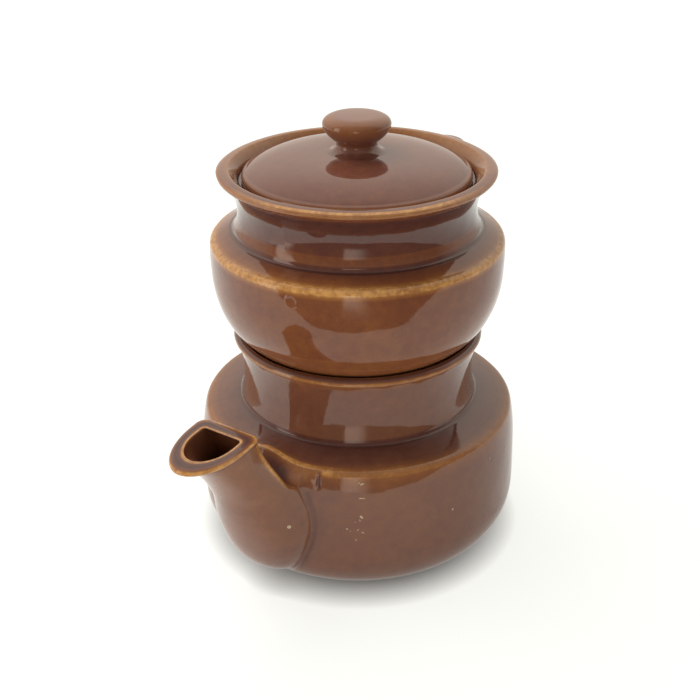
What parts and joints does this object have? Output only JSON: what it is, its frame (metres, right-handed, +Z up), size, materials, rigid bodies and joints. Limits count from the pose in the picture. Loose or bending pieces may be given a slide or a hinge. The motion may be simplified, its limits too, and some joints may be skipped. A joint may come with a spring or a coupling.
{
  "type": "double teapot",
  "caption": "Stacked stoneware teapot: a lower pot with a beak spout and a handle, an upper pot with a strainer floor that seats in its rim, and a domed lid with a knob.",
  "frame": {"origin": "centre of the lower pot's flat base, on the surface the teapot stands on", "axes": "+Z up along the axis of both pots, +X towards the spout, both handles on the -X side, +Y to the left of the spout seen from behind it"},
  "size_m": [0.2411, 0.1564, 0.2101],
  "materials": {
    "brown_glaze": "glossy brown transparent glaze over stoneware, thin and golden at the edges",
    "deep_brown_glaze": "the same glossy brown glaze, a little deeper and redder",
    "lid_glaze": "the same glossy brown glaze, evenly coated on the lid"
  },
  "bodies": {
    "lower_pot": {"lower_pot_body": "brown_glaze", "lower_pot_spout": "brown_glaze", "lower_pot_handle": "brown_glaze"},
    "upper_pot": {"upper_pot_body": "deep_brown_glaze", "upper_pot_handle": "deep_brown_glaze"},
    "lid": {"lid": "lid_glaze", "lid_knob": "lid_glaze"}
  },
  "joints": [
    {"name": "upper_pot_lift", "type": "slide", "parent": "lower_pot", "child": "upper_pot", "axis": [0, 0, 1], "range_m": [0, 0.06]},
    {"name": "lid_lift", "type": "slide", "parent": "upper_pot", "child": "lid", "axis": [0, 0, 1], "range_m": [0, 0.06]}
  ]
}
